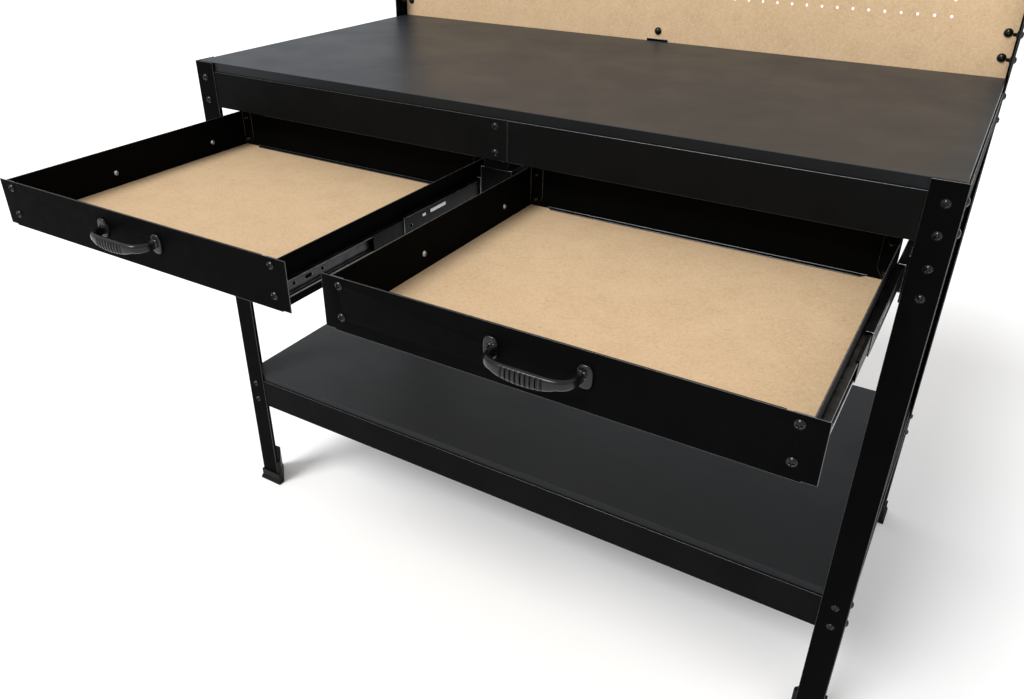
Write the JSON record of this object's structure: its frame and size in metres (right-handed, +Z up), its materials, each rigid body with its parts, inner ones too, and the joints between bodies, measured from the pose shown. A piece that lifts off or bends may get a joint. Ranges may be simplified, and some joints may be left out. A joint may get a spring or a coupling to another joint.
{
  "type": "workbench",
  "caption": "Black steel workbench with a board worktop, a lower shelf, two shallow drawers on telescopic slides and a pegboard back panel.",
  "frame": {"origin": "on the floor, under the middle of the bounding box with the drawers pulled out", "axes": "+Z up, +Y from the drawer fronts to the pegboard, +X to the right as seen from the front"},
  "size_m": [1.212, 1.0364, 1.524],
  "materials": {
    "black_steel": "satin black powder coat",
    "black_bolts": "semi-gloss black",
    "black_board": "black melamine-faced board, satin",
    "fibreboard": "bare tan hardboard, matt",
    "foot_plastic": "moulded black plastic",
    "handle": "cast, semi-gloss black",
    "zinc": "bright zinc plate",
    "slide_steel": "dark zinc-plated, rolled"
  },
  "bodies": {
    "frame": {"leg_front_left": "black_steel", "leg_front_right": "black_steel", "leg_rear_left": "black_steel", "leg_rear_right": "black_steel", "foot_front_left": "foot_plastic", "foot_front_right": "foot_plastic", "foot_rear_left": "foot_plastic", "foot_rear_right": "foot_plastic", "apron_front_left": "black_steel", "apron_front_right": "black_steel", "apron_rear": "black_steel", "side_beam_left": "black_steel", "side_beam_right": "black_steel", "shelf_beam_front": "black_steel", "shelf_beam_rear": "black_steel", "shelf_beam_left": "black_steel", "shelf_beam_right": "black_steel", "worktop": "black_board", "shelf_board": "black_board", "upright_left": "black_steel", "upright_right": "black_steel", "pegboard": "fibreboard", "pegboard_top_rail": "black_steel", "pegboard_clip": "black_steel", "centre_divider": "black_steel", "slide_rail_left": "black_steel", "slide_rail_right": "black_steel", "frame_bolts": "black_bolts", "frame_nuts": "black_bolts", "pegboard_bolts": "black_bolts", "slide_fixing_screws": "zinc", "left_slide_outer_l": "slide_steel", "left_slide_outer_r": "slide_steel", "right_slide_outer_l": "slide_steel", "right_slide_outer_r": "slide_steel"},
    "left_middle": {"left_slide_middle_l": "slide_steel", "left_slide_middle_r": "slide_steel"},
    "right_middle": {"right_slide_middle_l": "slide_steel", "right_slide_middle_r": "slide_steel"},
    "left_drawer": {"left_slide_inner_l": "slide_steel", "left_slide_inner_r": "slide_steel", "left_drawer_front": "black_steel", "left_drawer_side_l": "black_steel", "left_drawer_side_r": "black_steel", "left_drawer_back": "black_steel", "left_drawer_floor": "fibreboard", "left_drawer_handle": "handle", "left_drawer_screws": "black_bolts", "left_slide_screws": "zinc"},
    "right_drawer": {"right_slide_inner_l": "slide_steel", "right_slide_inner_r": "slide_steel", "right_drawer_front": "black_steel", "right_drawer_side_l": "black_steel", "right_drawer_side_r": "black_steel", "right_drawer_back": "black_steel", "right_drawer_floor": "fibreboard", "right_drawer_handle": "handle", "right_drawer_screws": "black_bolts", "right_slide_screws": "zinc"}
  },
  "joints": [
    {"name": "left_drawer_slide", "type": "slide", "parent": "frame", "child": "left_drawer", "axis": [0, -1, 0], "range_m": [-0.397, 0.003]},
    {"name": "left_middle_slide", "type": "slide", "parent": "frame", "child": "left_middle", "axis": [0, -1, 0], "range_m": [-0.183, 0.002]},
    {"name": "right_drawer_slide", "type": "slide", "parent": "frame", "child": "right_drawer", "axis": [0, -1, 0], "range_m": [-0.397, 0.003]},
    {"name": "right_middle_slide", "type": "slide", "parent": "frame", "child": "right_middle", "axis": [0, -1, 0], "range_m": [-0.183, 0.002]}
  ],
  "couplings": [
    {"joint": "left_middle_slide", "follows": "left_drawer_slide", "ratio": 0.46},
    {"joint": "right_middle_slide", "follows": "right_drawer_slide", "ratio": 0.46}
  ]
}
